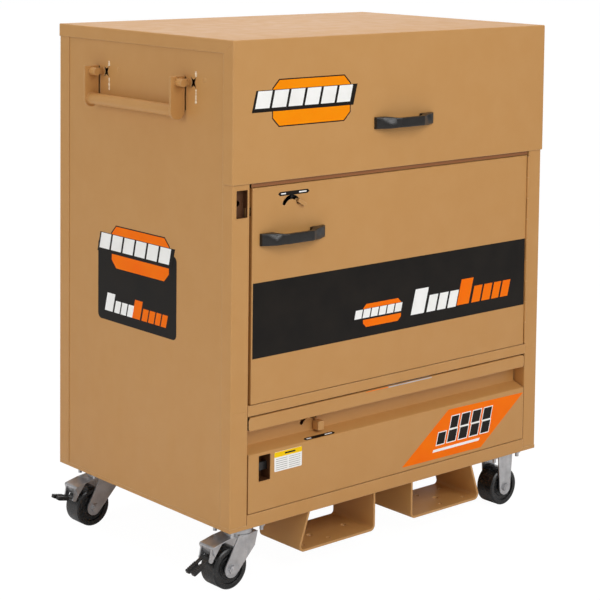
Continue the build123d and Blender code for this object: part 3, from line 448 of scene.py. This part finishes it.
def side_decal(name, wall, mirror):
    """Black rounded panel with the badge over its top edge and two rows of plain bars."""
    start = 389 - mirror * 132
    panel = rounded([(220, 430), (558, 430), (558, 640), (220, 640)], 14)
    film(f"{name}_panel", wall, panel, 1, VINYL_BLACK, "cabinet")
    emblem(f"{name}_badge", wall, (389 - mirror * 8, 636), 0.95, "cabinet", 2, mirror)
    leaning_row(f"{name}_white_bar", wall, start, 455, WHITE_BARS, 2, VINYL_WHITE, "cabinet", mirror, 0.72)
    start += mirror * 121
    leaning_row(f"{name}_orange_bar", wall, start, 455, ORANGE_BARS, 2, VINYL_ORANGE, "cabinet", mirror, 0.72)


side_decal("left_decal", left_wall, -1)
side_decal("right_decal", right_wall, 1)

door_width = (door_high.x - door_low.x) / MM
BAND_LOW, BAND_HIGH = 112.0, 296.7
band = [(3, BAND_LOW), (door_width - 3, BAND_LOW), (door_width - 3, BAND_HIGH), (3, BAND_HIGH)]
film("door_band", door_wall, band, 1, VINYL_BLACK, "door")
emblem("door_badge", door_wall, (421, 172), 0.52, "door", 2)
leaning_row("door_white_bar", door_wall, 545, 144, WHITE_BARS, 2, VINYL_WHITE, "door")
leaning_row("door_orange_bar", door_wall, 717, 146, ORANGE_BARS, 2, VINYL_ORANGE, "door")

# drawer: leaning orange panel with two rows of bars and a thin line
panel = [(519, 12), (818, 9), (986, 132), (690, 136)]
film("drawer_orange_panel", drawer_wall, panel, 1, VINYL_ORANGE, "drawer")
BAR_EDGE = 2.5         # white line round each black bar
BAR_SIZE = 31
FIRST_BAR = 28
for label, start, foot, count in (("upper", 700, 84, 4), ("lower", 650, 48, 5)):
    bars = [(FIRST_BAR, BAR_SIZE)] + [(BAR_SIZE, BAR_SIZE)] * (count - 1)
    edges = [(width + 2 * BAR_EDGE, height + 2 * BAR_EDGE) for width, height in bars]
    edge_start, edge_foot = start - BAR_EDGE, foot - BAR_EDGE
    leaning_row(f"drawer_{label}_edge", drawer_wall, edge_start, edge_foot, edges, 2, VINYL_WHITE, "drawer")
    u = start
    for i, (width, height) in enumerate(bars):
        outline = bar(u + width / 2, foot + height / 2, width, height, LEAN * height / 2)
        film(f"drawer_{label}_bar_{i + 1}", drawer_wall, outline, 3, VINYL_BLACK, "drawer")
        u += width + 2 * BAR_EDGE + BAR_GAP
film("drawer_thin_bar", drawer_wall, bar(722, 33, 178, 7, 2), 2, VINYL_WHITE, "drawer")

# drawer: small two-colour notice with plain fine lines
NOTICE_U, NOTICE_V = 126.5, 113.5                # its centre
NOTICE_W, NOTICE_H = 89, 49
heading_v = NOTICE_V + 17.5
plate = rounded(bar(NOTICE_U, NOTICE_V, NOTICE_W, NOTICE_H), 3)
film("notice_white", drawer_wall, plate, 1, VINYL_WHITE, "drawer")
plate = rounded(bar(NOTICE_U, heading_v, NOTICE_W, 13), 2)
film("notice_yellow", drawer_wall, plate, 2, VINYL_YELLOW, "drawer")
film("notice_heading", drawer_wall, bar(NOTICE_U + 6, heading_v, 34, 4), 3, VINYL_BLACK, "drawer")
for i in range(6):
    for label, u in (("left", -21), ("right", 21)):
        line = bar(NOTICE_U + u, NOTICE_V + 6 - 5.2 * i, 37, 1.3)
        film(f"notice_line_{i + 1}_{label}", drawer_wall, line, 2, VINYL_GREY, "drawer")


def status_strip(name, wall, centre, length, body):
    """Black strip with pointed ends, a short light dash at one end and a longer one at the other."""
    half, tip, thick = length / 2, 6, 5
    u, v = centre
    outline = [
        (u - half, v), (u - half + tip, v - thick), (u + half - tip, v - thick),
        (u + half, v), (u + half - tip, v + thick), (u - half + tip, v + thick),
    ]
    film(name, wall, outline, 1, VINYL_BLACK, body)
    film(f"{name}_dash_1", wall, bar(u - half + 17, v, 15, 3.2), 2, VINYL_WHITE, body)
    film(f"{name}_dash_2", wall, bar(u + half - 22, v, 24, 3.2), 2, VINYL_WHITE, body)


status_strip("door_status_strip", door_wall, (130, 506), 101, "door")

# the drawer's sloping ledge rises to the back of its finger recess
LEDGE_FRONT = 146.0    # above the drawer's lower edge
LEDGE_RUN, LEDGE_RISE = 38.0, 13.0
slope = math.hypot(LEDGE_RUN, LEDGE_RISE)
ledge_up = (0, LEDGE_RUN / slope, LEDGE_RISE / slope)
ledge_out = (0, -LEDGE_RISE / slope, LEDGE_RUN / slope)
ledge_wall = Wall((lid_low.x, drawer_low.y, drawer_low.z + LEDGE_FRONT * MM), RIGHT, ledge_up, ledge_out)
drawer_top_v = (drawer_high.z - body_z) / MM
status_strip("drawer_status_strip", ledge_wall, (296, 9.0), 104, "drawer")
lip_wall = Wall((lid_low.x, drawer_low.y, drawer_high.z), RIGHT, REAR, UP)
label = rounded([(527, 4), (684, 4), (684, 24), (527, 24)], 2)
film("drawer_lip_label", lip_wall, label, 1, PALE_LABEL, "drawer")
film("drawer_lip_label_edge", post_wall, bar(605, drawer_top_v - 2.6, 157, 2.6), 1, PALE_LABEL, "drawer")
film("drawer_lip_tape", post_wall, bar(486, drawer_top_v - 2.2, 78, 1.6), 1, VINYL_ORANGE, "drawer")


# ---------------------------------------------------------------- welds
def bead(name, wall, path, radius, body, seed, finish_material=None, wobble=0.28):
    """A weld bead laid along a wall: a low, uneven half-buried rope."""
    steps = []
    for start, end in zip(path, path[1:]):
        count = max(2, round((Vector(end) - Vector(start)).length / 2.2))
        steps += [Vector(start).lerp(Vector(end), i / count) for i in range(count)]
    steps.append(Vector(path[-1]))
    points = [wall.at(u, v, -0.25 * radius) for u, v in steps]
    made = tube(name, points, radius * MM, finish_material or TAN_FINE, body, wobble=wobble, seed=seed)


for side_name, wall, seed in (("left", left_wall, 11), ("right", right_wall, 31)):
    for label, u, foot in (("front", 147, 1027), ("rear", 511, 1029)):
        weld_name = f"{side_name}_{label}_bracket_weld"
        below, above = [(u, foot), (u, 1061)], [(u, 1092), (u + 1, 1105)]
        # the bracket welds take the near-white painted highlight
        bead(weld_name, wall, below, 2.3, "cabinet", seed + u, WELD, 0.5)
        bead(f"{weld_name}_top", wall, above, 2.9, "cabinet", seed + u + 1, WELD, 0.5)
for side_name, wall, seed in (("left", lid_left_wall, 41), ("right", lid_right_wall, 42)):
    bead(f"{side_name}_lid_mitre_weld", wall, [(2, 1186), (32, 1161)], 0.9, "lid", seed)
bead("left_rail_weld", post_wall, [(14, 290), (50, 290)], 0.7, "cabinet", 51)
bead("right_rail_weld", post_wall, [(1052, 290), (1088, 290)], 0.7, "cabinet", 52)


def dome(name, wall, centre, radius, height, body):
    """A low round plug weld under the paint."""
    rings, sides = 6, 18
    verts, faces = [wall.at(*centre, height)], []
    for ring in range(1, rings + 1):
        share = ring / rings
        depth = height * (1 - share * share) ** 2 if ring < rings else SUNK
        for k in range(sides):
            angle = math.tau * k / sides
            u = centre[0] + radius * share * math.cos(angle)
            v = centre[1] + radius * share * math.sin(angle)
            verts.append(wall.at(u, v, depth))
    for k in range(sides):
        faces.append([0, 1 + k, 1 + (k + 1) % sides])
    for ring in range(rings - 1):
        low = 1 + ring * sides
        for k in range(sides):
            nxt = (k + 1) % sides
            faces.append([low + k, low + sides + k, low + sides + nxt, low + nxt])
    faces.append([1 + (rings - 1) * sides + k for k in range(sides)])
    made = piece(name, verts, faces, TAN_FINE, body)
    for polygon in made.data.polygons:
        polygon.use_smooth = len(polygon.vertices) < sides


for side_name, wall in (("left", left_wall), ("right", right_wall)):
    for label, centre in (("front", (114, 1087)), ("rear", (471, 1085))):
        dome(f"{side_name}_{label}_plug_weld", wall, centre, 7.0, 0.6, "cabinet")


# ---------------------------------------------------------------- rims, header and pedal pads
def rim(name, wall, low, high, radius, body):
    """The rolled edge of a window, half buried in the wall round it."""
    corners = rounded([low, (high[0], low[1]), high, (low[0], high[1])], 3, 5)
    points = [wall.at(u, v, -0.2 * radius) for u, v in corners]
    tube(name, points, radius * MM, TAN_FINE, body, ring=True)


RIM_INSET = 0.6        # the rim's centre line inside the pocket's outer face
for name, pocket, body in (
    ("drawer_window_rim", "drawer_lock_pocket", "drawer"),
    ("post_window_rim", "door_lock_pocket", "cabinet"),
):
    low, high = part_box(pocket)
    u0, u1 = (low.x - lid_low.x) / MM + RIM_INSET, (high.x - lid_low.x) / MM - RIM_INSET
    v0, v1 = (low.z - body_z) / MM + RIM_INSET, (high.z - body_z) / MM - RIM_INSET
    rim(name, post_wall, (u0, v0), (u1, v1), 1.1, body)

# folded header over the door opening, just behind the lid's lower edge, in the darker paint: painted shade
# for the shade under the lid's edge
HEADER_GAP, HEADER_H = 1.5, 12
HEADER_REACH = 2.5     # past each side of the door
low_v = (door_high.z - body_z) / MM + HEADER_GAP
high_v = low_v + HEADER_H
left_u = (door_low.x - lid_low.x) / MM - HEADER_REACH
right_u = (door_high.x - lid_low.x) / MM + HEADER_REACH
header = rounded([(left_u, low_v), (right_u, low_v), (right_u, high_v), (left_u, high_v)], 1.5)
slab("header_flange", post_wall, header, -4.0, -2.2, TAN_PAINTED_SHADE, "cabinet")


PAD_TOP, PAD_GROOVE = 5.5, 4.3                   # rib height and the grooves between ribs
PAD_RIB = 5.5                                    # from rib to rib
PAD_INNER, PAD_OUTER = 4.8, 17.0                 # from the middle of the pedal


def pedal_pads(end_name, tilt, rising):
    """Ribbed rubber pads over the two prongs of a brake pedal."""
    low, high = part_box(f"{end_name}_brake_pedal")
    middle = (low.y + high.y) / 2
    lean = math.radians(tilt)
    toward_pin = (math.cos(lean), 0, math.sin(lean))
    upward = (-math.sin(lean), 0, math.cos(lean))
    tip_x = low.x + (1.5 if rising else 2.5) * MM
    tip_z = high.z - 4.0 * MM if rising else low.z + 3.0 * MM
    wall = Wall((tip_x, middle, tip_z), toward_pin, upward, REAR)
    outline = [(0, -3.5), (0, 4.0), (2, PAD_TOP)]
    for rib in range(5):
        u = 4 + PAD_RIB * rib
        outline += [(u, PAD_TOP), (u + 1.2, PAD_GROOVE), (u + 2.6, PAD_GROOVE), (u + 3.8, PAD_TOP)]
    outline += [(32, 4.6), (33, 2.0), (32, -3.0), (30, -4.5), (3, -4.5)]
    for label, side in (("near", -1), ("far", 1)):
        inner, outer = sorted((side * PAD_INNER, side * PAD_OUTER))
        pad_name, body = f"{end_name}_pedal_pad_{label}", f"{end_name}_pedal"
        slab(pad_name, wall, outline, inner, outer, BLACK_ENAMEL, body)


pedal_pads("front", 28.0, False)
pedal_pads("rear", -12.0, True)


# ---------------------------------------------------------------- camera and stage
CAMERA_FROM_CORNER = Vector((-2.618, -3.249, 0.303))     # metres from the lid's front left top corner
CAMERA_ANGLES = 41.73, -4.37, 0.706                      # yaw from +Y, pitch and roll, degrees
CAMERA_LENS = 106.83
FILM_SHIFT = -0.0375, -0.4197
FLOOR_HALF = 30.0
FLOOR_WHITE = 0.93     # share of the floor that shows plain white to the camera
WORLD_LIGHT = 0.42
BACK_CARD = 1.5        # brighter band behind the object, for the sheen on its top
BACK_CARD_TOWARD = (0.66, 0.75, 0.0)
WHITE = (1.0, 1.0, 1.0, 1.0)


def make_camera():
    """A long lens a little above the lid, its film shifted down so that the uprights stay upright."""
    data = bpy.data.cameras.new("camera")
    camera = bpy.data.objects.new("camera", data)
    bpy.context.scene.collection.objects.link(camera)
    data.sensor_width = 36.0
    data.lens = CAMERA_LENS
    data.clip_start, data.clip_end = 0.1, 60.0
    corner = Vector((lid_low.x, lid_low.y, lid_high.z))
    camera.location = corner + CAMERA_FROM_CORNER
    yaw, pitch, roll = (math.radians(angle) for angle in CAMERA_ANGLES)
    heading = Vector((math.sin(yaw) * math.cos(pitch), math.cos(yaw) * math.cos(pitch), math.sin(pitch)))
    camera.rotation_mode = "QUATERNION"
    camera.rotation_quaternion = heading.to_track_quat("-Z", "Y") @ Quaternion((0, 0, 1), roll)
    shift_only_from_here(camera, "shift_x", FILM_SHIFT[0])
    shift_only_from_here(camera, "shift_y", FILM_SHIFT[1])
    bpy.context.scene.camera = camera


def shift_only_from_here(camera, channel, amount):
    """The film shift belongs to this viewpoint, so it drops to zero when the camera is moved."""
    driver = camera.data.driver_add(channel).driver
    driver.type = "SCRIPTED"
    variable = driver.variables.new()
    variable.name = "x"
    variable.type = "TRANSFORMS"
    variable.targets[0].id = camera
    variable.targets[0].transform_type = "LOC_X"
    variable.targets[0].transform_space = "WORLD_SPACE"
    driver.expression = f"{amount} if abs(x - {camera.location.x:.6f}) < 0.0005 else 0.0"


def area_light(name, place, target, size, power):
    data = bpy.data.lights.new(name, "AREA")
    data.shape = "RECTANGLE"
    data.size, data.size_y = size
    data.energy = power
    light = bpy.data.objects.new(name, data)
    bpy.context.scene.collection.objects.link(light)
    light.location = place
    light.rotation_euler = (Vector(target) - Vector(place)).to_track_quat("-Z", "Y").to_euler()


def make_floor():
    """A large pale floor that shows white, with only a faint contact shadow."""
    mesh = bpy.data.meshes.new("floor")
    half = FLOOR_HALF
    corners = [(-half, -half, 0), (half, -half, 0), (half, half, 0), (-half, half, 0)]
    mesh.from_pydata(corners, [], [(0, 1, 2, 3)])
    floor = bpy.data.objects.new("floor", mesh)
    bpy.context.scene.collection.objects.link(floor)
    made, tree, shader, place = material("studio_floor")
    dim, bright = (0.84, 0.84, 0.84, 1.0), (0.88, 0.88, 0.88, 1.0)
    colour = blend_colour(tree, noise(tree, place, 1.5, 2.0), dim, bright)
    tree.links.new(colour, shader.inputs["Base Color"])
    shader.inputs["Roughness"].default_value = 0.8
    seen = remap(tree, add(tree, "LightPath").outputs["Is Camera Ray"], 0.0, 1.0, 0.0, FLOOR_WHITE)
    white = add(tree, "Emission", {"Color": WHITE, "Strength": 1.05})
    mix = add(tree, "MixShader", {0: seen, 1: shader.outputs["BSDF"], 2: white.outputs["Emission"]})
    tree.links.new(mix.outputs["Shader"], tree.nodes["Material Output"].inputs["Surface"])
    floor.data.materials.append(made)


def make_world():
    """White to the camera, and a dimmer even light on the object."""
    world = bpy.data.worlds.new("studio")
    bpy.context.scene.world = world
    world.use_nodes = True
    tree = world.node_tree
    light = tree.nodes["Background"]
    light.inputs["Color"].default_value = WHITE
    direction_vector = add(tree, "TexCoord").outputs["Generated"]
    direction = add(tree, "SeparateXYZ", {"Vector": direction_vector})
    away = add(tree, "VectorMath", {0: direction_vector, 1: BACK_CARD_TOWARD}, operation="DOT_PRODUCT")
    behind = remap(tree, away.outputs["Value"], 0.35, 0.85)
    height = add(tree, "Math", {0: direction.outputs["Z"]}, operation="ABSOLUTE").outputs[0]
    near_horizon = remap(tree, height, 0.45, 0.15)
    card = add(tree, "Math", {0: behind, 1: near_horizon}, operation="MULTIPLY").outputs[0]
    strength = remap(tree, card, 0.0, 1.0, WORLD_LIGHT, BACK_CARD)
    tree.links.new(strength, light.inputs["Strength"])
    white = add(tree, "Background", {"Color": WHITE, "Strength": 1.0})
    seen = add(tree, "LightPath").outputs["Is Camera Ray"]
    mix = add(tree, "MixShader", {0: seen, 1: light.outputs["Background"], 2: white.outputs["Background"]})
    tree.links.new(mix.outputs["Shader"], tree.nodes["World Output"].inputs["Surface"])


def make_lights():
    """A wide key from the front, a soft top light and a weaker fill from the left."""
    middle = (0.0, 0.0, 0.7)
    area_light("key", (0.0, -4.3, 3.5), middle, (3.0, 2.4), 98.0)
    area_light("top", (0.3, 1.0, 4.6), middle, (3.2, 3.2), 74.0)
    area_light("fill", (-4.8, -0.2, 2.4), middle, (2.6, 2.4), 50.0)


make_camera()
make_floor()
make_world()
make_lights()
bpy.context.scene.view_settings.view_transform = "Standard"
